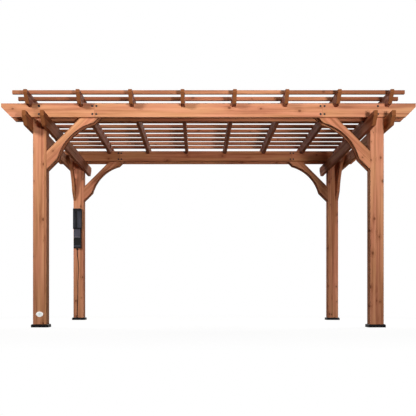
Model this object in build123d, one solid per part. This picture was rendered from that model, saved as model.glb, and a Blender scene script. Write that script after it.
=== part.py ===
from build123d import *
import os

os.makedirs("parts", exist_ok=True)

# Garden pergola of planed timber, in millimetres.
# X runs along the long beams, Y from the front to the back, Z up from the ground.
# The origin is on the ground, at the middle of the four posts.

# Posts, and the shoes that they stand in
post_size = 140
post_edge_radius = 6
post_span_x = 3455
post_span_y = 2430
shoe_size = 177
shoe_height = 32
shoe_floor = 12
shoe_play = 0.3
shoe_corner_radius = 14
shoe_edge_chamfer = 7

# Sawn boards
board_thickness = 38
board_arris = 3

# Long beams, a pair on the front posts and a pair on the back posts, each spliced from three boards
beam_height = 140
beam_base_z = 2145
beam_length = 4226
beam_nose = 38
beam_middle_length = 2324
seam_gap = 1

# Side beams, a pair on the left posts and a pair on the right posts, on which the long beams rest
side_height = 133
side_length = 3200
side_nose = 51

# Rafters, notched over the long beams
rafter_count = 8
rafter_pitch = 519
rafter_height = 121
rafter_length = 3082
rafter_nose = 30
notch_depth = 38
notch_play = 1

# Shade slats, laid across the rafters
slat_count = 12
slat_size = 37
slat_length = 3974
slat_spread = 2710
slat_arris = 2

# Knee braces, boards at 45 degrees with an arc cut out of the lower edge
cross_brace_width = 130
side_brace_width = 140
brace_foot_z = 1620
brace_reach = 588
brace_arc_chord = 516
brace_arc_depth = 70
brace_head_drop = 5

# Power unit on the back left post
unit_offset_x = -9
unit_base_z = 971
unit_width = 98
unit_depth = 50
unit_edge_radius = 5
socket_box_height = 136
socket_box_depth = 62
lid_height = 118
lid_width = 86
lid_thickness = 8
lid_margin = 3
hood_width = 112
hood_height = 275
hood_depth = 78
hood_wall = 3
hood_edge_radius = 8
hood_headroom = 3
gland_diameter = 16
gland_length = 20
gland_wall_distance = 9
gland_offset_x = -6

# Power cord, from the gland down the front of the post to the rim of its shoe
cord_diameter = 8
cord_route = [
    (-1742.5, 1136.0, 951.0),
    (-1742.5, 1136.0, 880.0),
    (-1732.0, 1135.2, 790.0),
    (-1727.5, 1135.2, 690.0),
    (-1733.5, 1136.2, 590.0),
    (-1737.0, 1136.8, 490.0),
    (-1735.5, 1136.4, 390.0),
    (-1738.0, 1135.8, 290.0),
    (-1742.0, 1136.4, 190.0),
    (-1745.5, 1138.0, 100.0),
    (-1745.5, 1138.0, 32.0),
]
cord_arc_share = 0.45

# Places that several pieces share
half_post = post_size / 2
post_x = post_span_x / 2
post_y = post_span_y / 2
beam_top_z = beam_base_z + beam_height
side_base_z = beam_base_z - side_height
rafter_base_z = beam_top_z - notch_depth
rafter_top_z = rafter_base_z + rafter_height
beam_front_faces = {
    "front_outer": -post_y - half_post - board_thickness,
    "front_inner": -post_y + half_post,
    "back_inner": post_y - half_post - board_thickness,
    "back_outer": post_y + half_post,
}
corners = {
    "front_left": (-1, -1),
    "front_right": (1, -1),
    "back_left": (-1, 1),
    "back_right": (1, 1),
}


def save(solid, node):
    """Write one piece to its own file."""
    export_step(solid, f"parts/{node}.step")


def board_from(outline, plane, thickness):
    """A board of the given side outline, drawn on a plane and thickened along its normal."""
    return extrude(plane * make_face(Polyline(*outline, close=True)), amount=thickness)


def ease_long_edges(solid, axis, heights, arris):
    """Take the sharp corner off the edges that run the board's length at the given heights."""
    along = solid.edges().filter_by(axis)
    chosen = [edge for edge in along if min(abs(edge.center().Z - height) for height in heights) < arris]
    return chamfer(chosen, length=arris)


def beam_profile(low, high, base_z, height, nose, cut_low, cut_high):
    """Side outline of a beam, with a 45 degree cut under the nose at each end that is free."""
    top_z = base_z + height
    cut = height - nose
    points = [(low, top_z)]
    if cut_low:
        points += [(low, top_z - nose), (low + cut, base_z)]
    else:
        points += [(low, base_z)]
    if cut_high:
        points += [(high - cut, base_z), (high, top_z - nose)]
    else:
        points += [(high, base_z)]
    return points + [(high, top_z)]


# Post shoes: black moulded sockets with a sloped rim, open on top for the post
def make_shoe():
    block = extrude(RectangleRounded(shoe_size, shoe_size, shoe_corner_radius), amount=shoe_height)
    block = chamfer(block.faces().sort_by(Axis.Z)[-1].edges(), length=shoe_edge_chamfer)
    pocket_size = post_size + shoe_play * 2
    pocket = extrude(Rectangle(pocket_size, pocket_size), amount=shoe_height)
    return block - Pos(0, 0, shoe_floor) * pocket


# Posts: square timbers with rounded corners, as tall as the tops of the long beams
def make_post():
    post = extrude(Rectangle(post_size, post_size), amount=beam_top_z - shoe_floor)
    return Pos(0, 0, shoe_floor) * fillet(post.edges().filter_by(Axis.Z), radius=post_edge_radius)


shoe = make_shoe()
post = make_post()
for corner, (side_x, side_y) in corners.items():
    place = Pos(side_x * post_x, side_y * post_y, 0)
    save(place * shoe, f"shoe_{corner}")
    save(place * post, f"post_{corner}")


# Long beams: a board on each face of the posts, in three lengths butted end to end
def make_long_beam(front_face_y):
    half_length = beam_length / 2
    half_middle = beam_middle_length / 2
    seam = half_middle + seam_gap
    stretches = [
        (-half_length, -seam, True, False),
        (-half_middle, half_middle, False, False),
        (seam, half_length, False, True),
    ]
    plane = Plane(origin=(0, front_face_y + board_thickness, 0), x_dir=(1, 0, 0), z_dir=(0, -1, 0))
    boards = []
    for low, high, cut_low, cut_high in stretches:
        outline = beam_profile(low, high, beam_base_z, beam_height, beam_nose, cut_low, cut_high)
        plain = board_from(outline, plane, board_thickness)
        boards.append(ease_long_edges(plain, Axis.X, (beam_base_z, beam_top_z), board_arris))
    return Compound(children=boards)


for name, front_face_y in beam_front_faces.items():
    save(make_long_beam(front_face_y), f"beam_{name}")


# Side beams: a board on the outer and the inner face of the posts, under the long beams
def make_side_beam(left_face_x):
    half_length = side_length / 2
    outline = beam_profile(-half_length, half_length, side_base_z, side_height, side_nose, True, True)
    plane = Plane(origin=(left_face_x, 0, 0), x_dir=(0, 1, 0), z_dir=(1, 0, 0))
    return ease_long_edges(
        board_from(outline, plane, board_thickness), Axis.Y, (side_base_z, beam_base_z), board_arris
    )


side_left_faces = {
    "left_outer": -post_x - half_post - board_thickness,
    "left_inner": -post_x + half_post,
    "right_inner": post_x - half_post - board_thickness,
    "right_outer": post_x + half_post,
}
for name, left_face_x in side_left_faces.items():
    save(make_side_beam(left_face_x), f"side_beam_{name}")


# Rafters: boards on edge, notched to drop over the four long beams, with 45 degree tails
def make_rafter(centre_x):
    half_length = rafter_length / 2
    outline = beam_profile(-half_length, half_length, rafter_base_z, rafter_height, rafter_nose, True, True)
    plane = Plane(origin=(centre_x - board_thickness / 2, 0, 0), x_dir=(0, 1, 0), z_dir=(1, 0, 0))
    rafter = ease_long_edges(
        board_from(outline, plane, board_thickness), Axis.Y, (rafter_base_z, rafter_top_z), board_arris
    )
    notch = Box(board_thickness * 2, board_thickness + notch_play * 2, notch_depth * 2)
    for front_face_y in beam_front_faces.values():
        rafter -= Pos(centre_x, front_face_y + board_thickness / 2, rafter_base_z) * notch
    return rafter


first_rafter_x = -rafter_pitch * (rafter_count - 1) / 2
for index in range(rafter_count):
    save(make_rafter(first_rafter_x + rafter_pitch * index), f"rafter_{index + 1}")


# Shade slats: square battens across the rafters, numbered from the front
def make_slat(centre_y):
    slat = extrude(Rectangle(slat_length, slat_size), amount=slat_size)
    slat = chamfer(slat.edges().filter_by(Axis.X), length=slat_arris)
    return Pos(0, centre_y, rafter_top_z) * slat


for index in range(slat_count):
    centre_y = -slat_spread / 2 + slat_spread * index / (slat_count - 1)
    save(make_slat(centre_y), f"slat_{index + 1:02d}")


# Knee braces: boards that lean from a post up to the beams that they are bolted between.
# Each is drawn against a post face at X zero, with its front face at Y zero, and its head sawn off level.
def make_brace(width, head_z):
    end_cut = width * 2 ** 0.5
    half_side_chord = brace_arc_chord / 2 ** 1.5
    middle_x = brace_reach / 2
    middle_z = brace_foot_z + brace_reach / 2
    arc_rise = brace_arc_depth / 2 ** 0.5
    arc_low = (middle_x - half_side_chord, middle_z - half_side_chord)
    arc_high = (middle_x + half_side_chord, middle_z + half_side_chord)
    outline = [
        Line((0, brace_foot_z), arc_low),
        ThreePointArc(arc_low, (middle_x - arc_rise, middle_z + arc_rise), arc_high),
        Polyline(
            arc_high,
            (brace_reach, brace_foot_z + brace_reach),
            (brace_reach, brace_foot_z + brace_reach + end_cut),
            (0, brace_foot_z + end_cut),
            (0, brace_foot_z),
        ),
    ]
    plane = Plane(origin=(0, board_thickness, 0), x_dir=(1, 0, 0), z_dir=(0, -1, 0))
    blank = extrude(plane * make_face(outline), amount=board_thickness)
    faces = blank.faces().sort_by(Axis.Y)
    rims = faces[0].edges() + faces[-1].edges()
    eased = [edge for edge in rims if board_arris < edge.center().X < brace_reach - board_arris]
    return split(chamfer(eased, length=board_arris), bisect_by=Plane.XY.offset(head_z), keep=Keep.BOTTOM)


inner_face_x = post_x - half_post
outer_face_x = post_x + half_post
cross_board = make_brace(cross_brace_width, beam_top_z - brace_head_drop)
side_board = make_brace(side_brace_width, beam_base_z - brace_head_drop)


# Across the pergola the braces are pairs of boards, which fill the space between the paired long beams
def make_cross_braces(side_x, side_y):
    pair = []
    for set_back in (0, post_size - board_thickness):
        board = Pos(-inner_face_x, side_y * post_y - half_post + set_back, 0) * cross_board
        pair.append(board if side_x < 0 else mirror(board, about=Plane.YZ))
    return Compound(children=pair)


# Along the sides each brace is a single board, flush with the outer faces of the posts
def make_side_brace(side_x, side_y):
    board = Pos(-outer_face_x + board_thickness, -post_y + half_post, 0) * Rot(0, 0, 90) * side_board
    board = board if side_x < 0 else mirror(board, about=Plane.YZ)
    return board if side_y < 0 else mirror(board, about=Plane.XZ)


for corner, (side_x, side_y) in corners.items():
    save(make_cross_braces(side_x, side_y), f"cross_brace_{corner}")
    save(make_side_brace(side_x, side_y), f"side_brace_{corner}")


# Power unit: a housing screwed to the post, with a socket box at its foot, a lid and a rain hood.
# Its pieces are drawn with the post's face at Y zero and the foot of the unit at Z zero.
def unit_block(width, depth, height, edge_radius):
    block = Pos(0, -depth / 2, 0) * extrude(Rectangle(width, depth), amount=height)
    upright = block.edges().filter_by(Axis.Z)
    return fillet(upright.sort_by(Axis.Y)[:2], radius=edge_radius)


hood_base_z = socket_box_height + lid_height + lid_margin * 2
unit_height = hood_base_z + hood_height


def make_housing():
    body = unit_block(unit_width, unit_depth, unit_height - hood_wall - hood_headroom, unit_edge_radius)
    socket_box = unit_block(unit_width, socket_box_depth, socket_box_height, unit_edge_radius)
    gland = Pos(gland_offset_x, -gland_wall_distance, -gland_length) * extrude(
        Circle(gland_diameter / 2), amount=gland_length
    )
    return body + socket_box + gland


def make_hood():
    hood = unit_block(hood_width, hood_depth, hood_height, hood_edge_radius)
    hood = fillet(hood.faces().sort_by(Axis.Z)[-1].edges().sort_by(Axis.Y)[0], radius=hood_edge_radius)
    inside = unit_block(
        hood_width - hood_wall * 2,
        hood_depth - hood_wall,
        hood_height - hood_wall,
        hood_edge_radius - hood_wall,
    )
    return Pos(0, 0, hood_base_z) * (hood - inside)


def make_lid():
    lid = Pos(0, -unit_depth - lid_thickness / 2, socket_box_height + lid_margin) * extrude(
        Rectangle(lid_width, lid_thickness), amount=lid_height
    )
    return fillet(lid.faces().sort_by(Axis.Y)[0].edges(), radius=lid_thickness / 2)


unit_x = -post_x + unit_offset_x
unit_place = Pos(unit_x, post_y - half_post, unit_base_z)
save(unit_place * make_housing(), "power_housing")
save(unit_place * make_hood(), "power_hood")
save(unit_place * make_lid(), "power_lid")


# Power cord: a round lead that hangs down the post, every bend as wide as its runs allow
def make_cord():
    points = [Vector(*point) for point in cord_route]
    radii = []
    for before, here, after in zip(points, points[1:], points[2:]):
        shorter = min((here - before).length, (after - here).length)
        turn = (here - before).get_angle(after - here)
        half_turn_line = Vector(1, 0).rotate(Axis.Z, turn / 2)
        radii.append(cord_arc_share * shorter * half_turn_line.X / half_turn_line.Y)
    path = FilletPolyline(*points, radius=radii)
    section = Plane(origin=points[0], z_dir=path % 0) * Circle(cord_diameter / 2)
    tube = sweep(section, path=path)
    print("cord radii", [round(radius) for radius in radii])
    print("cord length", round(path.length, 1), "volume share", tube.volume / (section.area * path.length))
    return tube


save(make_cord(), "power_cord")
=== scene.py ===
from math import radians

import bmesh
import bpy
from mathutils import Matrix, Vector


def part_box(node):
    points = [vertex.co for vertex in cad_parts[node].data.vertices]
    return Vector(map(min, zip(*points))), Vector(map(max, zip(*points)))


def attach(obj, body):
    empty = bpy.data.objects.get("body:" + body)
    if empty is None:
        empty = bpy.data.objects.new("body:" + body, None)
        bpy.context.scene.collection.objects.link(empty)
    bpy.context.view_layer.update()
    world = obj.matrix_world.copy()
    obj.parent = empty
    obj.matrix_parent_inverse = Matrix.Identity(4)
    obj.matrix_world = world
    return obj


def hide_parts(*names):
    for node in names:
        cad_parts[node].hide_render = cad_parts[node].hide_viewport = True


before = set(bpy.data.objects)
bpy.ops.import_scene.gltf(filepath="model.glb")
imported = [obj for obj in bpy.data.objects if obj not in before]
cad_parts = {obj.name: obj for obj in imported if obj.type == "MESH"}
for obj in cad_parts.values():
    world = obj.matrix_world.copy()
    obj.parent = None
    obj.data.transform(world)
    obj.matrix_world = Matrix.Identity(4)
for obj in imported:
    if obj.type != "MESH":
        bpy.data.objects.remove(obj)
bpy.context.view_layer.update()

# Studio: a pale floor that runs into a white surround, seen by a level camera low in front.
# Soft lamps stand high on the front left, low on the front right, high behind and above each side, so
# that the fronts of the timbers are bright and the roof is darker from below.
scene = bpy.context.scene
scene.view_settings.view_transform = "Standard"


def put(tree, kind, sockets=None, **settings):
    """Add a shader node with its settings, and set or link its input sockets."""
    made = tree.nodes.new("ShaderNode" + kind)
    for name, value in settings.items():
        setattr(made, name, value)
    for key, value in (sockets or {}).items():
        if isinstance(value, bpy.types.NodeSocket):
            tree.links.new(value, made.inputs[key])
        else:
            made.inputs[key].default_value = value
    return made


def calc(tree, operation, first, second=0.0, third=0.0):
    """One sum on two or three values, each a number or a socket."""
    return put(tree, "Math", {0: first, 1: second, 2: third}, operation=operation).outputs[0]


def seen_straight(tree):
    """1 for rays that come straight, by a mirror or through glass, and 0 for light that bounces."""
    path = put(tree, "LightPath")
    straight = calc(tree, "MAXIMUM", path.outputs["Is Camera Ray"], path.outputs["Is Glossy Ray"])
    return calc(tree, "MAXIMUM", straight, path.outputs["Is Transmission Ray"])


def blank_paint(name):
    """A new material and its empty node tree."""
    paint = bpy.data.materials.new(name)
    paint.use_nodes = True
    paint.node_tree.nodes.clear()
    return paint, paint.node_tree


def blend(tree, share, *stops):
    """A colour that runs through the stops, each a position and a colour, as the share rises."""
    ramp = put(tree, "ValToRGB", {0: share})
    first, *between, last = stops
    for end, (at, colour) in zip(ramp.color_ramp.elements, (first, last)):
        end.position = at
        end.color = (*colour, 1)
    for at, colour in between:
        ramp.color_ramp.elements.new(at).color = (*colour, 1)
    return ramp.outputs[0]


surround = bpy.data.worlds.new("white_surround")
surround.use_nodes = True
scene.world = surround
tree = surround.node_tree
tree.nodes.clear()
white = put(tree, "Background", {"Color": (1, 1, 1, 1), "Strength": 1.0})
fill = put(tree, "Background", {"Color": (1.0, 0.88, 0.80, 1), "Strength": 0.056})
both = put(tree, "MixShader", {0: seen_straight(tree), 1: fill.outputs[0], 2: white.outputs[0]})
put(tree, "OutputWorld", {"Surface": both.outputs[0]})

floor_size = 400.0
shadow_start, shadow_end = 2.4, 4.6
shadow_share = 0.06
bpy.ops.object.select_all(action="DESELECT")
bpy.ops.mesh.primitive_plane_add(size=floor_size)
floor = bpy.context.object
floor.name = "studio_floor"
floor_paint, tree = blank_paint("pale_floor")
place = put(tree, "TexCoord").outputs["Object"]
cloud = put(tree, "TexNoise", {"Vector": place, "Scale": 0.6}).outputs[0]
pale = blend(tree, cloud, (0.0, (0.86, 0.86, 0.85)), (1.0, (0.92, 0.92, 0.91)))
seen_matt = put(tree, "BsdfDiffuse", {"Color": pale})
bounce_matt = put(tree, "BsdfDiffuse", {"Color": (0.07, 0.064, 0.058, 1)})
glow = put(tree, "Emission", {"Color": (1, 1, 1, 1), "Strength": 1.0})
away = put(tree, "VectorMath", {0: place}, operation="LENGTH").outputs["Value"]
glow_share = put(tree, "MapRange", {0: away, 1: shadow_start, 2: shadow_end, 3: 1 - shadow_share, 4: 1.0})
seen = put(tree, "MixShader", {0: glow_share.outputs[0], 1: seen_matt.outputs[0], 2: glow.outputs[0]})
both = put(tree, "MixShader", {0: seen_straight(tree), 1: bounce_matt.outputs[0], 2: seen.outputs[0]})
put(tree, "OutputMaterial", {"Surface": both.outputs[0]})
floor.data.materials.append(floor_paint)

lamp_tint = (1.0, 0.98, 0.96)


def soft_lamp(name, place, aim, size, power, spread):
    """A square soft lamp that points at a spot and doesn't show in the picture."""
    lamp = bpy.data.lights.new(name, "AREA")
    lamp.shape = "SQUARE"
    lamp.size = size
    lamp.energy = power
    lamp.spread = radians(spread)
    lamp.color = lamp_tint
    stand = bpy.data.objects.new(name, lamp)
    stand.location = place
    stand.rotation_euler = (Vector(aim) - Vector(place)).to_track_quat("-Z", "Y").to_euler()
    stand.visible_camera = False
    scene.collection.objects.link(stand)


soft_lamp("left_lamp", place=(-4.6, -7.2, 3.3), aim=(-1.3, -0.8, 2.4), size=1.2, power=54, spread=68)
soft_lamp("right_lamp", place=(2.2, -10.0, 0.42), aim=(0.8, -1.0, 3.2), size=0.8, power=83, spread=60)
soft_lamp("back_lamp", place=(0.4, 7.5, 6.5), aim=(0, 0.7, 1.7), size=4.0, power=235, spread=80)
for side in (-1, 1):
    soft_lamp(f"side_lamp_{side}", place=(side * 4.2, 1.1, 4.6), aim=(side * 2.0, 0.0, 0.6), size=1.4,
              power=34, spread=52)

lens = bpy.data.cameras.new("low_front")
lens.lens = 63.04
lens.sensor_width = 36.0
lens.shift_x = 0.024
lens.shift_y = 0.214
lens.clip_end = 300.0
camera = bpy.data.objects.new("low_front", lens)
camera.location = (-0.106, -8.745, 0.311)
camera.rotation_euler = (radians(90), 0, 0)
scene.collection.objects.link(camera)
scene.camera = camera

# Post shoes: black moulded plastic sockets that keep the ends of the posts off the wet ground.
# Each has a sloped rim, and the post stands loose inside it.
corners = ["front_left", "front_right", "back_left", "back_right"]


def moulded(name, dark, light, roughness, gloss):
    """Moulded plastic or rubber: a fine spark texture, faint mottling and a little dust on top."""
    paint, tree = blank_paint(name)
    coords = put(tree, "TexCoord")
    place = coords.outputs["Object"]
    mottle = put(tree, "TexNoise", {"Vector": place, "Scale": 16.0, "Detail": 5.0}).outputs[0]
    spark = put(tree, "TexNoise", {"Vector": place, "Scale": 900.0, "Detail": 2.0}).outputs[0]
    shade = blend(tree, mottle, (0.3, dark), (0.72, light))
    upward = put(tree, "SeparateXYZ", {0: coords.outputs["Normal"]}).outputs[2]
    lying = put(tree, "MapRange", {0: upward, 1: 0.5, 2: 1.0, 3: 0.0, 4: 0.25})
    dust = calc(tree, "MULTIPLY", lying.outputs[0], mottle)
    dusty = put(tree, "Mix", {0: dust, 6: shade, 7: (0.16, 0.14, 0.12, 1)}, data_type="RGBA")
    rough = put(tree, "MapRange", {0: mottle, 3: roughness - 0.08, 4: roughness + 0.08})
    bump = put(tree, "Bump", {"Height": spark, "Strength": 0.25, "Distance": 0.0003})
    skin = put(tree, "BsdfPrincipled", {
        "Base Color": dusty.outputs[2], "Roughness": rough.outputs[0], "Normal": bump.outputs[0],
        "Specular IOR Level": gloss,
    })
    put(tree, "OutputMaterial", {"Surface": skin.outputs[0]})
    return paint


def dress(node, paint):
    """Give a solid of the frame its finish."""
    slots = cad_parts[node].data.materials
    slots.clear()
    slots.append(paint)


shoe_plastic = moulded("shoe_plastic", (0.006, 0.006, 0.007), (0.014, 0.014, 0.015), 0.6, 0.06)
for corner in corners:
    dress("shoe_" + corner, shoe_plastic)

# Posts: square planed cedar timbers, glued up from two laths and stained red-brown.
# They stand in the shoes and carry the paired beams on their faces.
grain_up = (0, radians(90), 0)
bare_share = 0.40
knot_radius, knot_growth = 0.005, 0.008
knot_stretch = 0.7
core_reach, halo_reach = (0.55, 1.25), (0.8, 4.5)
board_jump = (0.71, 0.13, 0.17)


def stretch(tree, grain, along, deep, wide):
    """Places in the timber, with the grain's three directions drawn out or pressed together."""
    return put(tree, "VectorMath", {0: grain, 1: (along, deep, wide)}, operation="MULTIPLY").outputs[0]


def knots(tree, grain, knot_cells):
    """Scattered knots, one at most in a cell: their dark cores, and the grain that bends around them."""
    spread_out = stretch(tree, grain, *knot_cells)
    cells = put(tree, "TexVoronoi", {"Vector": spread_out, "Scale": 1.0})
    apart = put(tree, "VectorMath", {0: spread_out, 1: cells.outputs["Position"]}, operation="SUBTRACT")
    to_metres = (knot_stretch / knot_cells[0], 0.0, 1.0 / knot_cells[2])
    apart = put(tree, "VectorMath", {0: apart.outputs[0], 1: to_metres}, operation="MULTIPLY")
    far = put(tree, "VectorMath", {0: apart.outputs[0]}, operation="LENGTH").outputs["Value"]
    luck = put(tree, "SeparateColor", {0: cells.outputs["Color"]})
    there = calc(tree, "GREATER_THAN", luck.outputs[0], bare_share)
    radius = calc(tree, "MULTIPLY_ADD", luck.outputs[1], knot_growth, knot_radius)
    nearness = calc(tree, "DIVIDE", far, radius)
    masks = []
    for inner, outer in (core_reach, halo_reach):
        soft = put(tree, "MapRange", {0: nearness, 1: inner, 2: outer, 3: 1.0, 4: 0.0},
                   interpolation_type="SMOOTHSTEP")
        masks.append(calc(tree, "MULTIPLY", soft.outputs[0], there))
    return masks


def timber(name, turn, seed, painted_light_and_shade=(1, 1, 1), knot_cells=(3.2, 0.8, 7.0), seams=(), shades=(0,),
           edge_factor_stain_and_painted_shade=1):
    """Stained cedar, with the grain turned along the board: streaks, growth rings, knots and sawn ends.

    Seams part it into boards, each with a shade of its own. The tone multiplies the colour as painted
    light and painted shade, and the edge factor darkens faces that are not broadside: painted shade, and
    partly stain on sawn edges.
    """
    paint, tree = blank_paint(name)
    coords = put(tree, "TexCoord")
    place = coords.outputs["Object"]
    board_shade = shades[0]
    for (axis, at), before, after in zip(seams, shades, shades[1:]):
        parts = put(tree, "SeparateXYZ", {0: coords.outputs["Object"]})
        past = calc(tree, "GREATER_THAN", parts.outputs[axis], at)
        jump = put(tree, "VectorMath", {0: board_jump, "Scale": past}, operation="SCALE").outputs[0]
        place = put(tree, "VectorMath", {0: place, 1: jump}, operation="ADD").outputs[0]
        board_shade = calc(tree, "MULTIPLY_ADD", past, after - before, board_shade)
    place_in_log = ((seed * 1.37) % 5.0, 0.10 + (seed * 0.233) % 0.31, 0.06 + (seed * 0.377) % 0.37)
    grain = put(tree, "Mapping", {"Vector": place, "Location": place_in_log, "Rotation": turn}).outputs[0]
    core, halo = knots(tree, grain, knot_cells)

    def drawn_out(along, across, detail=2.0, roughness=0.5):
        """Noise that is drawn out along the grain."""
        return put(tree, "TexNoise", {
            "Vector": stretch(tree, grain, along, across, across), "Scale": 1.0, "Detail": detail,
            "Roughness": roughness,
        }).outputs[0]

    def facing(direction):
        """How squarely the surface faces one of the grain's directions, from 0 to 1."""
        turned = put(tree, "VectorRotate", {"Vector": direction, "Rotation": turn},
                     rotation_type="EULER_XYZ", invert=True)
        squarely = put(tree, "VectorMath", {0: coords.outputs["Normal"], 1: turned.outputs[0]},
                       operation="DOT_PRODUCT")
        return calc(tree, "ABSOLUTE", squarely.outputs["Value"])

    streak = drawn_out(1.0, 34.0, detail=4.0, roughness=0.6)
    broad = drawn_out(0.7, 6.0)
    fibre = drawn_out(12.0, 420.0)
    rings = put(tree, "TexWave", {
        "Vector": stretch(tree, grain, 0.045, 1.0, 1.0), "Scale": 34.0, "Distortion": 3.0, "Detail": 2.0,
        "Detail Scale": 0.9, "Phase Offset": calc(tree, "MULTIPLY", halo, 9.0),
    }, wave_type="RINGS", rings_direction="X", wave_profile="SAW").outputs[0]
    mixed = calc(tree, "ADD", board_shade, -0.47)
    for layer, weight in ((streak, 1.10), (broad, 0.70), (rings, 0.14), (fibre, 0.22), (halo, -0.10)):
        mixed = calc(tree, "MULTIPLY_ADD", layer, weight, mixed)
    stain = blend(tree, mixed, (0.38, (0.36, 0.132, 0.068)), (0.64, (0.60, 0.250, 0.137)),
                  (0.92, (0.78, 0.360, 0.212)))
    honey = put(tree, "MapRange", {0: drawn_out(1.4, 11.0), 1: 0.38, 2: 0.66, 3: 0.0, 4: 1.0})
    tint = put(tree, "Mix", {0: honey.outputs[0], 6: (1.00, 0.975, 1.00, 1), 7: (0.98, 1.07, 0.95, 1)},
               data_type="RGBA")
    # The tone multiplies the colour: painted light and painted shade, set for each timber by how the lamps
    # light it.
    tint = put(tree, "VectorMath", {0: tint.outputs[2], 1: painted_light_and_shade}, operation="MULTIPLY")
    # Painted shade on the faces that are not broadside, by the edge factor; on sawn edges it is partly
    # stain.
    edge = put(tree, "MapRange", {0: facing((0, 1, 0)), 1: 0.4, 2: 0.7, 3: edge_factor_stain_and_painted_shade, 4: 1.0})
    tint = put(tree, "VectorMath", {0: tint.outputs[0], "Scale": edge.outputs[0]}, operation="SCALE")
    warmed = put(tree, "Mix", {0: 1.0, 6: stain, 7: tint.outputs[0]}, data_type="RGBA",
                 blend_type="MULTIPLY")
    knotted = put(tree, "Mix", {
        0: calc(tree, "MULTIPLY", core, 0.75), 6: warmed.outputs[2], 7: (0.15, 0.050, 0.024, 1),
    }, data_type="RGBA")
    sawn = put(tree, "MapRange", {0: facing((1, 0, 0)), 1: 0.58, 2: 0.66})
    end_grain = put(tree, "Mix", {0: rings, 6: (0.20, 0.068, 0.024, 1), 7: (0.32, 0.115, 0.043, 1)},
                    data_type="RGBA")
    dyed = put(tree, "Mix", {0: sawn.outputs[0], 6: knotted.outputs[2], 7: end_grain.outputs[2]},
               data_type="RGBA")
    rough = put(tree, "MapRange", {0: mixed, 1: 0.4, 2: 0.9, 3: 0.86, 4: 0.70})
    height = calc(tree, "MULTIPLY_ADD", rings, 0.5, fibre)
    bump = put(tree, "Bump", {"Height": height, "Strength": 0.3, "Distance": 0.0007})
    wood = put(tree, "BsdfPrincipled", {
        "Base Color": dyed.outputs[2], "Roughness": rough.outputs[0], "Normal": bump.outputs[0],
        "Specular IOR Level": 0.03,
    })
    put(tree, "OutputMaterial", {"Surface": wood.outputs[0]})
    return paint


post_knot_cells = (5.5, 9.0, 11.0)
# Painted shade: the side faces of the posts are darker than their fronts and backs.
post_sides_painted_shade = 0.8
lath_shades = (0, -0.04)
lath_seams = {"front_left": 0.044, "front_right": -0.014, "back_left": 0.02, "back_right": -0.03}
# Painted light: the back posts are lighter than the front ones, for lamp light that reaches them.
post_painted_light_tones = {
    "front_left": (1.0, 1.0, 1.0),
    "front_right": (1.0, 1.0, 1.0),
    "back_left": (1.15, 1.14, 1.18),
    "back_right": (1.06, 1.05, 1.08),
}
for count, corner in enumerate(corners):
    low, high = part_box("post_" + corner)
    seam = (low.x + high.x) / 2 + lath_seams[corner]
    dress("post_" + corner, timber(
        "post_cedar_" + corner, grain_up, seed=3 + count * 2.7, painted_light_and_shade=post_painted_light_tones[corner],
        knot_cells=post_knot_cells, seams=[(0, seam)], shades=lath_shades, edge_factor_stain_and_painted_shade=post_sides_painted_shade,
    ))

# Blank plate: a small oval of white enamelled metal with a faint grey, sunk middle and no marking.
# It is glued near the foot of the front left post, facing the front.
plate_size = (0.074, 0.054)
plate_height_up = 0.135
plate_rise = 0.0025
plate_edge = 0.0025
plate_rim = 0.0125
plate_sink = 0.0008


def start(name, add, **sizes):
    """Add a primitive with nothing else selected, name it and open it for editing."""
    if bpy.context.mode != "OBJECT":
        bpy.ops.object.mode_set(mode="OBJECT")
    bpy.ops.object.select_all(action="DESELECT")
    add(**sizes)
    piece = bpy.context.object
    piece.name = name
    piece.data.name = name
    bpy.ops.object.mode_set(mode="EDIT")
    bpy.ops.mesh.select_mode(type="FACE")
    return piece


def raise_by(height):
    """Extrude the selected faces straight up, or down if the height is negative."""
    bpy.ops.mesh.extrude_region_move(TRANSFORM_OT_translate={"value": (0, 0, height)})


def set_copies(name, master, places, paint):
    """Copy a modelled piece, which faces up, to each place, facing outward, and join the copies."""
    bpy.ops.object.mode_set(mode="OBJECT")
    bpy.ops.object.select_all(action="DESELECT")
    for count, (place, outward) in enumerate(places):
        twin = master.copy()
        twin.data = master.data.copy()
        roll = Matrix.Rotation(radians(137 * count), 4, "Z")
        turn = Vector((0, 0, 1)).rotation_difference(Vector(outward)).to_matrix().to_4x4()
        twin.data.transform(Matrix.Translation(place) @ turn @ roll)
        scene.collection.objects.link(twin)
        twin.select_set(True)
        bpy.context.view_layer.objects.active = twin
    bpy.ops.object.join()
    joined = bpy.context.object
    joined.name = name
    joined.data.name = name
    bpy.ops.object.shade_smooth_by_angle(angle=radians(35))
    joined.data.materials.append(paint)
    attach(joined, "root")


def enamel(name, middle, size):
    """White enamel that greys towards the middle of the plate, slightly uneven and dulled."""
    paint, tree = blank_paint(name)
    place = put(tree, "TexCoord").outputs["Object"]
    from_middle = put(tree, "VectorMath", {0: place, 1: middle}, operation="SUBTRACT").outputs[0]
    to_shares = (2 / size[0], 0, 2 / size[1])
    oval = put(tree, "VectorMath", {0: from_middle, 1: to_shares}, operation="MULTIPLY").outputs[0]
    reach = put(tree, "VectorMath", {0: oval}, operation="LENGTH").outputs["Value"]
    cloud = put(tree, "TexNoise", {"Vector": place, "Scale": 60.0, "Detail": 3.0}).outputs[0]
    uneven = calc(tree, "MULTIPLY_ADD", cloud, 0.02, reach)
    shade = blend(tree, uneven, (0.10, (0.66, 0.74, 0.74)), (0.80, (0.96, 0.96, 0.95)))
    rough = put(tree, "MapRange", {0: cloud, 3: 0.60, 4: 0.72})
    skin = put(tree, "BsdfPrincipled", {
        "Base Color": shade, "Roughness": rough.outputs[0], "Metallic": 0.4,
    })
    put(tree, "OutputMaterial", {"Surface": skin.outputs[0]})
    return paint


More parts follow.
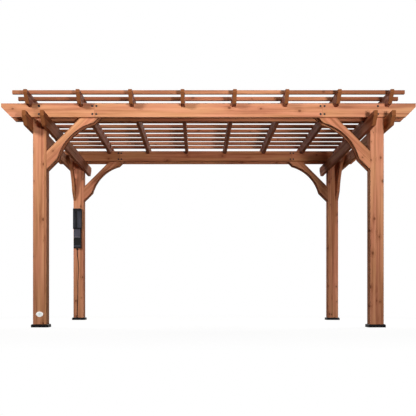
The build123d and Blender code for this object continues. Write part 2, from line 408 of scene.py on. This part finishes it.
low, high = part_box("post_front_left")
plate_place = Vector(((low.x + high.x) / 2, low.y, plate_height_up))
plate = start("plate_master", bpy.ops.mesh.primitive_circle_add, vertices=48, radius=0.5, fill_type="NGON")
bpy.ops.transform.resize(value=(*plate_size, 1))
raise_by(plate_rise)
bpy.ops.mesh.inset(thickness=plate_edge)
bpy.ops.transform.translate(value=(0, 0, plate_sink))
bpy.ops.mesh.inset(thickness=plate_rim)
bpy.ops.transform.translate(value=(0, 0, -plate_sink))
white_enamel = enamel("white_enamel", plate_place, plate_size)
set_copies("blank_plate", plate, [(plate_place, (0, -1, 0))], white_enamel)
bpy.data.objects.remove(plate)

# Long beams: cedar boards in three lengths, in pairs on the front and the back faces of the posts.
# Black bolts go through the posts and, at each joint of the boards, through the heads of the braces.
# The bolts have round heads on the outer boards, and washers and nuts on the inner ones.
grain_along_x = (0, 0, 0)
joint_x = 1.1625
beam_knot_cells = (2.6, 0.8, 6.0)
# Painted shade: the inner and the back beams are darker, for the shade behind the outer beam and under the
# roof.
beam_painted_shade_tones = {
    "front_outer": (1.0, 1.0, 1.0),
    "front_inner": (0.64, 0.60, 0.56),
    "back_inner": (0.77, 0.72, 0.66),
    "back_outer": (0.64, 0.58, 0.53),
}
# Painted light: the middle board of each outer beam is lighter, a painted pool of lamp light.
beam_board_painted_light = {
    "front_outer": (0, 0.07, 0.01),
    "front_inner": (0, 0, 0),
    "back_inner": (0, 0, 0),
    "back_outer": (0, 0.05, 0),
}
for count, name in enumerate(beam_painted_shade_tones):
    dress("beam_" + name, timber(
        "beam_cedar_" + name, grain_along_x, seed=11 + count * 3.1, painted_light_and_shade=beam_painted_shade_tones[name],
        knot_cells=beam_knot_cells, seams=[(0, -joint_x), (0, joint_x)], shades=beam_board_painted_light[name],
    ))


def dark_steel(name, dark, light, roughness):
    """Blackened steel: patchy, dull, and a little brown where the coating has worn."""
    paint, tree = blank_paint(name)
    place = put(tree, "TexCoord").outputs["Object"]
    patch = put(tree, "TexNoise", {"Vector": place, "Scale": 120.0, "Detail": 4.0}).outputs[0]
    shade = blend(tree, patch, (0.35, dark), (0.75, light))
    rough = put(tree, "MapRange", {0: patch, 3: roughness - 0.1, 4: roughness + 0.15})
    pits = put(tree, "Bump", {"Height": patch, "Strength": 0.2, "Distance": 0.0003})
    skin = put(tree, "BsdfPrincipled", {
        "Base Color": shade, "Roughness": rough.outputs[0], "Normal": pits.outputs[0],
        "Metallic": 0.4, "Specular IOR Level": 0.3,
    })
    put(tree, "OutputMaterial", {"Surface": skin.outputs[0]})
    return paint


bolt_black = dark_steel("bolt_black", (0.014, 0.012, 0.013), (0.040, 0.034, 0.034), 0.55)
washer_radius = 0.0110
washer_rise = 0.002
head_radius = 0.0088
head_side, head_dome = 0.003, 0.002
head_top_share = 0.72
socket_radius = 0.0036
socket_depth = 0.003
bolt = start("bolt_master", bpy.ops.mesh.primitive_circle_add, vertices=20, radius=washer_radius,
             fill_type="NGON")
raise_by(washer_rise)
bpy.ops.mesh.inset(thickness=washer_radius - head_radius)
raise_by(head_side)
raise_by(head_dome)
bpy.ops.transform.resize(value=(head_top_share, head_top_share, 1))
bpy.ops.mesh.inset(thickness=head_radius * head_top_share - socket_radius)
raise_by(-socket_depth)

nut_radius = 0.0095
nut_side, nut_slope = 0.0068, 0.0012
nut_top_share = 0.9
nut_face = 0.002125
thread_rise = 0.004
nut = start("nut_master", bpy.ops.mesh.primitive_circle_add, vertices=18, radius=washer_radius,
            fill_type="NGON")
raise_by(washer_rise)
bpy.ops.mesh.primitive_circle_add(vertices=6, radius=nut_radius, fill_type="NGON",
                                  location=(0, 0, washer_rise))
raise_by(nut_side)
raise_by(nut_slope)
bpy.ops.transform.resize(value=(nut_top_share, nut_top_share, 1))
bpy.ops.mesh.inset(thickness=nut_face)
raise_by(thread_rise)

bolt_rows = (0.030, 0.112)
bolt_from_joint = 0.020
low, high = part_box("post_front_right")
post_x = (low.x + high.x) / 2
bolt_columns = [
    side * at for side in (-1, 1) for at in (post_x, joint_x - bolt_from_joint, joint_x + bolt_from_joint)
]


def beam_bolts(board, outward):
    """The places of the bolts on one face of a long beam."""
    low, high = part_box(board)
    face_y = high.y if outward[1] > 0 else low.y
    return [((x, face_y, low.z + up), outward) for x in bolt_columns for up in bolt_rows]


forward, backward = (0, -1, 0), (0, 1, 0)
set_copies("beam_bolts", bolt, beam_bolts("beam_front_outer", forward)
           + beam_bolts("beam_back_outer", backward), bolt_black)
set_copies("beam_nuts", nut, beam_bolts("beam_front_inner", backward)
           + beam_bolts("beam_back_inner", forward), bolt_black)
bpy.data.objects.remove(nut)

# Side beams: cedar boards in pairs on the outer and the inner faces of the posts, with their lower ends
# sawn off at a slant. The long beams rest on them. Two bolts go through the outer board into each post,
# and two more into the head of each side brace.
grain_along_y = (0, 0, radians(-90))
# Painted shade: the side beams are darker than the front beam, the inner ones most, for the shade under
# the roof.
side_beam_painted_shade_tones = {
    "left_outer": (0.76, 0.71, 0.62),
    "left_inner": (0.52, 0.42, 0.36),
    "right_inner": (0.52, 0.41, 0.34),
    "right_outer": (0.76, 0.71, 0.62),
}
for count, name in enumerate(side_beam_painted_shade_tones):
    dress("side_beam_" + name, timber("side_beam_cedar_" + name, grain_along_y, seed=23 + count * 3.7,
                                      painted_light_and_shade=side_beam_painted_shade_tones[name]))

side_rows = (0.030, 0.103)
brace_bolts_in = (0.410, 0.465)
low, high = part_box("post_back_left")
post_y = (low.y + high.y) / 2
places = []
for side, name in ((-1, "side_beam_left_outer"), (1, "side_beam_right_outer")):
    low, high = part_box(name)
    outer_x = low.x if side < 0 else high.x
    for end in (-1, 1):
        for up, into in zip(side_rows, brace_bolts_in):
            places.append(((outer_x, end * post_y, low.z + up), (side, 0, 0)))
            places.append(((outer_x, end * (post_y - into), low.z + up), (side, 0, 0)))
set_copies("side_beam_bolts", bolt, places, bolt_black)
bpy.data.objects.remove(bolt)

# Knee braces: cedar boards sawn to an arch on the lower edge, which stiffen each corner both ways.
# They are in pairs along the long beams and single along the side beams, and the pairs' sawn edges are
# darker, partly stain and partly painted shade. The rear boards of the pairs and all braces but the front
# left one carry painted shade. Their heads are bolted between or behind the beams, and screws hold their
# feet to the post.
# The sawn edges of the pairs are darker: partly stain, partly painted shade.
sawn_edges_stain_and_painted_shade = 0.5
# Painted shade: the rear board of each pair is darker, for the front board's shadow.
pair_painted_shades = (0, -0.26)
# Painted shade: the braces other than the front left one are darker, the back ones most.
cross_brace_painted_shade_tones = {
    "front_left": (1.0, 1.0, 1.0),
    "front_right": (0.95, 0.93, 0.90),
    "back_left": (0.84, 0.79, 0.76),
    "back_right": (0.86, 0.82, 0.80),
}
# Painted shade: the side braces are darker than the front timbers.
side_brace_painted_shade_tone = (0.80, 0.72, 0.66)
for count, corner in enumerate(corners):
    lean = radians(45 if "left" in corner else 135)
    low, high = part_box("cross_brace_" + corner)
    dress("cross_brace_" + corner, timber(
        "cross_brace_cedar_" + corner, (0, lean, 0), seed=37 + count * 1.9, painted_light_and_shade=cross_brace_painted_shade_tones[corner],
        seams=[(1, (low.y + high.y) / 2)], shades=pair_painted_shades, edge_factor_stain_and_painted_shade=sawn_edges_stain_and_painted_shade,
    ))
    lean = radians(-45 if "front" in corner else -135)
    dress("side_brace_" + corner, timber("side_brace_cedar_" + corner, (lean, 0, radians(-90)),
                                         seed=47 + count * 2.3, painted_light_and_shade=side_brace_painted_shade_tone))

screw_grey = dark_steel("screw_grey", (0.040, 0.034, 0.030), (0.10, 0.088, 0.076), 0.5)
screw_radius = 0.0045
screw_rise = 0.0008
screw_rim_share = 0.55
screw_sink_share = 0.8
screw = start("screw_master", bpy.ops.mesh.primitive_circle_add, vertices=10, radius=screw_radius,
              fill_type="NGON")
raise_by(screw_rise)
bpy.ops.mesh.inset(thickness=screw_radius * screw_rim_share)
raise_by(-screw_rise * screw_sink_share)

foot_screws_up = (0.040, 0.078)
board_thickness = 0.038
places = []
for corner in corners:
    side = -1 if "left" in corner else 1
    low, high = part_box("cross_brace_" + corner)
    foot_x = low.x if side < 0 else high.x
    for up in foot_screws_up:
        for y in (low.y + board_thickness / 2, high.y - board_thickness / 2):
            places.append(((foot_x - side * up, y, low.z + up), (-side, 0, -1)))
    end = -1 if "front" in corner else 1
    low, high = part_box("side_brace_" + corner)
    foot_y = low.y if end < 0 else high.y
    for up in foot_screws_up:
        places.append((((low.x + high.x) / 2, foot_y - end * up, low.z + up), (0, -end, -1)))
set_copies("brace_screws", screw, places, screw_grey)

# Rafters: cedar boards on edge with slanted tails, notched over the long beams.
# A screw through the side of each one holds it at every beam.
rafter_count = 8
# Painted shade: the rafters are much darker than the front timbers, for the shade under the roof.
rafter_painted_shade_tone = (0.47, 0.38, 0.36)
beam_names = ["beam_front_outer", "beam_front_inner", "beam_back_inner", "beam_back_outer"]
toe_screw_up = 0.016
places = []
rafter_middles = []
for count in range(1, rafter_count + 1):
    dress(f"rafter_{count}", timber(f"rafter_cedar_{count}", grain_along_y, seed=53 + count * 4.1,
                                    painted_light_and_shade=rafter_painted_shade_tone))
    low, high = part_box(f"rafter_{count}")
    rafter_middles.append((low.x + high.x) / 2)
    for order, name in enumerate(beam_names):
        beam_low, beam_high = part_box(name)
        side = 1 if (count + order) % 2 else -1
        face_x = high.x if side > 0 else low.x
        places.append(((face_x, (beam_low.y + beam_high.y) / 2, beam_high.z + toe_screw_up), (side, 0, 0)))
set_copies("rafter_screws", screw, places, screw_grey)

# Shade slats: square cedar battens laid across the rafters, with one screw at every rafter.
# Each is butted from two or three lengths, which meet over a rafter and differ in shade, partly by their
# own tone and partly by painted light that falls off along the slat. The slats behind the front one carry
# painted shade.
slat_count = 12
slat_knot_cells = (3.2, 3.0, 7.0)
# Painted shade: the slats darken from the front one back, for the shade under the front beam.
slat_painted_shade_tones = [(0.88, 0.87, 0.87), (0.74, 0.68, 0.65)] + [(0.60, 0.53, 0.50)] * (slat_count - 2)
# The shades of the lengths are partly the boards' own tone and partly painted light that falls off along
# the slat.
front_lengths = ([(0, rafter_middles[5])], (0.04, -0.38))
two_lengths = ([(0, rafter_middles[4])], (0.10, -0.24))
three_lengths = ([(0, rafter_middles[3]), (0, rafter_middles[6])], (-0.28, 0.04, -0.28))
places = []
for count in range(1, slat_count + 1):
    seams, shades = two_lengths if count % 2 else three_lengths
    if count == 1:
        seams, shades = front_lengths
    dress(f"slat_{count:02d}", timber(
        f"slat_cedar_{count:02d}", grain_along_x, seed=71 + count * 2.9, painted_light_and_shade=slat_painted_shade_tones[count - 1],
        knot_cells=slat_knot_cells, seams=seams, shades=shades,
    ))
    low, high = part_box(f"slat_{count:02d}")
    places += [((x, (low.y + high.y) / 2, high.z), (0, 0, 1)) for x in rafter_middles]
set_copies("slat_screws", screw, places, screw_grey)
bpy.data.objects.remove(screw)

# Power unit: a weatherproof plastic box screwed to the back left post, with a lid over its sockets and
# a deep rain hood above. The hood has a raised panel and a raised rib, the lid a latch along its foot,
# and the socket box a lip.
housing_plastic = moulded("housing_plastic", (0.006, 0.006, 0.006), (0.014, 0.014, 0.014), 0.55, 0.1)
hood_plastic = moulded("hood_plastic", (0.004, 0.004, 0.005), (0.012, 0.012, 0.014), 0.5, 0.08)
panel_plastic = moulded("panel_plastic", (0.028, 0.030, 0.042), (0.054, 0.058, 0.078), 0.45, 0.12)
lid_plastic = moulded("lid_plastic", (0.055, 0.052, 0.072), (0.088, 0.084, 0.112), 0.45, 0.12)
rib_plastic = moulded("rib_plastic", (0.012, 0.013, 0.018), (0.024, 0.026, 0.034), 0.45, 0.1)
latch_plastic = moulded("latch_plastic", (0.11, 0.105, 0.125), (0.16, 0.15, 0.175), 0.45, 0.12)
dress("power_housing", housing_plastic)
dress("power_hood", hood_plastic)
dress("power_lid", lid_plastic)
edge_rounding = 0.0004


def choose_front(piece):
    """Select the faces that look to the front, and nothing else."""
    bpy.ops.mesh.select_all(action="DESELECT")
    shape = bmesh.from_edit_mesh(piece.data)
    for face in shape.faces:
        face.select_set(face.normal.y < -0.9)
    bmesh.update_edit_mesh(piece.data)


def moulding(name, low, high, rim, sink, paint):
    """A bar or panel with rounded edges, whose front is sunk inside a rim."""
    low, high = Vector(low), Vector(high)
    piece = start(name, bpy.ops.mesh.primitive_cube_add, size=1)
    bpy.ops.transform.resize(value=high - low)
    choose_front(piece)
    bpy.ops.mesh.inset(thickness=rim)
    bpy.ops.mesh.extrude_region_move(TRANSFORM_OT_translate={"value": (0, sink, 0)})
    bpy.ops.object.mode_set(mode="OBJECT")
    rounded = piece.modifiers.new("rounding", "BEVEL")
    rounded.width = edge_rounding
    rounded.segments = 2
    bpy.ops.object.modifier_apply(modifier="rounding")
    piece.location = (low + high) / 2
    bpy.ops.object.transform_apply(location=True, rotation=True, scale=True)
    bpy.ops.object.shade_smooth_by_angle(angle=radians(35))
    piece.data.materials.append(paint)
    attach(piece, "root")


hood_low, hood_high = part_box("power_hood")
unit_x = (hood_low.x + hood_high.x) / 2
panel_left, panel_right = unit_x + 0.006, unit_x + 0.054
rib_left, rib_right = unit_x - 0.054, unit_x - 0.020
panel_foot, panel_head = hood_low.z + 0.012, hood_high.z - 0.034
panel_front = hood_low.y - 0.003
moulding("hood_panel", (panel_left, panel_front, panel_foot), (panel_right, hood_low.y, panel_head),
         rim=0.006, sink=0.0012, paint=panel_plastic)
moulding("hood_rib", (rib_left, panel_front, panel_foot), (rib_right, hood_low.y, panel_head),
         rim=0.004, sink=0.0010, paint=rib_plastic)

lid_low, lid_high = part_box("power_lid")
latch_in = 0.006
latch_foot, latch_head = lid_low.z + 0.004, lid_low.z + 0.020
bar_rise, bar_seat = 0.004, 0.001
moulding("lid_latch", (lid_low.x + latch_in, lid_low.y - bar_rise, latch_foot),
         (lid_high.x - latch_in, lid_low.y + bar_seat, latch_head),
         rim=0.003, sink=0.001, paint=latch_plastic)

lip_half = 0.046
lip_foot, lip_head = lid_low.z - 0.120, lid_low.z - 0.098
socket_front = lid_high.y - 0.012
moulding("socket_lip", (unit_x - lip_half, socket_front - bar_rise, lip_foot),
         (unit_x + lip_half, socket_front + bar_seat, lip_head),
         rim=0.003, sink=0.001, paint=panel_plastic)

# Power lead: a thin round rubber lead that leaves the gland under the power unit and wanders down the
# post. A hexagon nut closes the gland, and a grommet seals the lead where it enters the rim of the shoe.
lead_diameter = 0.008
lead_route = [
    (-1.7425, 1.1360, 0.951),
    (-1.7425, 1.1360, 0.880),
    (-1.7320, 1.1352, 0.790),
    (-1.7275, 1.1352, 0.690),
    (-1.7335, 1.1362, 0.590),
    (-1.7370, 1.1368, 0.490),
    (-1.7355, 1.1364, 0.390),
    (-1.7380, 1.1358, 0.290),
    (-1.7420, 1.1364, 0.190),
    (-1.7455, 1.1380, 0.100),
    (-1.7455, 1.1380, 0.032),
]
line = bpy.data.curves.new("power_lead", "CURVE")
line.dimensions = "3D"
spline = line.splines.new("NURBS")
spline.points.add(len(lead_route) - 1)
for point, place in zip(spline.points, lead_route):
    point.co = (*place, 1.0)
spline.order_u = 3
spline.use_endpoint_u = True
line.resolution_u = 12
line.bevel_depth = lead_diameter / 2
line.bevel_resolution = 4
line.use_fill_caps = True
power_lead = bpy.data.objects.new("power_lead", line)
scene.collection.objects.link(power_lead)
lead_rubber = moulded("lead_rubber", (0.008, 0.007, 0.007), (0.020, 0.017, 0.016), 0.6, 0.1)
power_lead.data.materials.append(lead_rubber)
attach(power_lead, "root")
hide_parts("power_cord")

gland_nut_radius = 0.0115
gland_nut_side, gland_nut_slope = 0.009, 0.0027
gland_nut_rim = 0.0023
gland_nut_end_share = 0.85
gland_nut_up = 0.013
collar = start("collar_master", bpy.ops.mesh.primitive_circle_add, vertices=6, radius=gland_nut_radius,
               fill_type="NGON")
raise_by(gland_nut_side)
bpy.ops.mesh.inset(thickness=gland_nut_rim)
raise_by(gland_nut_slope)
bpy.ops.transform.resize(value=(gland_nut_end_share, gland_nut_end_share, 1))
gland_nut_top = Vector(lead_route[0]) + Vector((0, 0, gland_nut_up))
set_copies("gland_nut", collar, [(gland_nut_top, (0, 0, -1))], housing_plastic)
bpy.data.objects.remove(collar)

grommet_radius = 0.0085
grommet_half = 0.002
grommet_top_share = 0.8
grommet_rim = 0.002125
ring = start("ring_master", bpy.ops.mesh.primitive_circle_add, vertices=20, radius=grommet_radius,
             fill_type="NGON")
raise_by(grommet_half)
raise_by(grommet_half)
bpy.ops.transform.resize(value=(grommet_top_share, grommet_top_share, 1))
bpy.ops.mesh.inset(thickness=grommet_rim)
raise_by(-grommet_half)
set_copies("lead_grommet", ring, [(lead_route[-1], (0, 0, 1))], shoe_plastic)
bpy.data.objects.remove(ring)
